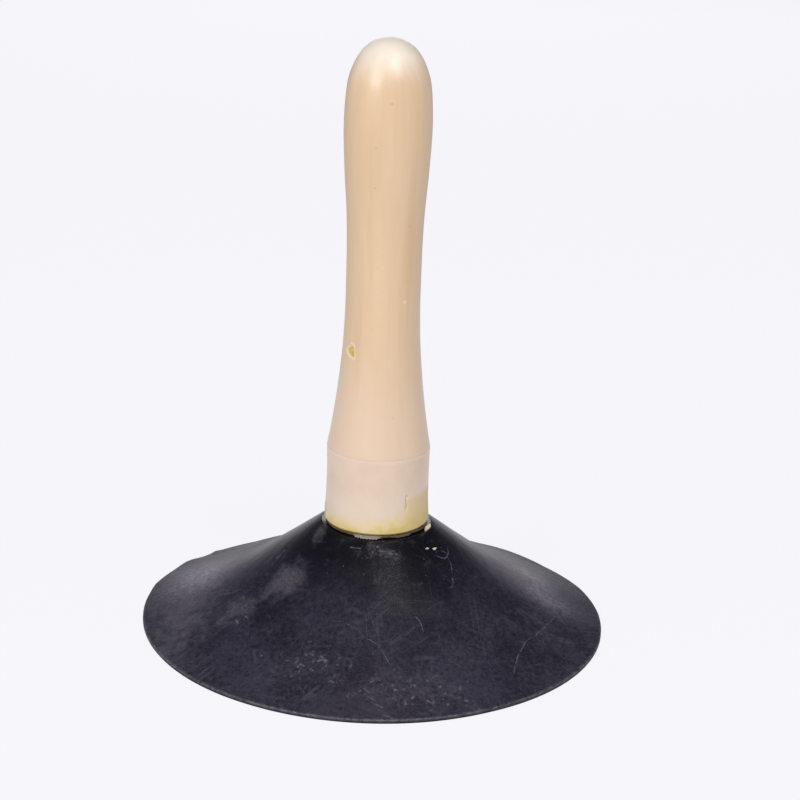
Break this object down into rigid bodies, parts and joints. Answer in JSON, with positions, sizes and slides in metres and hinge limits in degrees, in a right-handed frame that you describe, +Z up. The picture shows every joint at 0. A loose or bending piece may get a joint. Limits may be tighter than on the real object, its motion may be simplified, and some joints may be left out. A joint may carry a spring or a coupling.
{
  "type": "sink plunger",
  "caption": "Small sink plunger: a wide bell-shaped black rubber cup screwed under a short turned wooden handle with a cream gloss lacquer and a pale collar at its foot",
  "frame": {"origin": "centre of the cup's rim, on the plane that the rim rests on", "axes": "+Z up the handle; the part is turned about Z, so X and Y are free"},
  "size_m": [0.16, 0.16, 0.2028],
  "materials": {
    "cup_rubber": "moulded black rubber, satin, with scuffs, dust and a bloom",
    "handle_lacquer": "turned wood under a cream gloss lacquer, one chip down to yellow wood",
    "collar_plastic": "pale, slightly pink thin sleeve, semi-gloss, stained yellow by cement at its foot",
    "contact_cement": "dried contact cement, yellowish to pale grey, crumbly",
    "zinc_steel": "bright zinc plate, dulled by water"
  },
  "bodies": {
    "cup": {"rubber_cup": "cup_rubber"},
    "handle": {"handle": "handle_lacquer", "collar": "collar_plastic", "cement_bead": "contact_cement", "clamp_washer": "zinc_steel", "screw": "zinc_steel"}
  },
  "joints": [
    {"name": "plunge", "type": "slide", "parent": "cup", "child": "handle", "axis": [0, 0, -1], "range_m": [-0.006, 0.02], "stiffness_N_per_m": 1760, "springref_m": -0.0005, "deforming": ["rubber_cup"]}
  ]
}
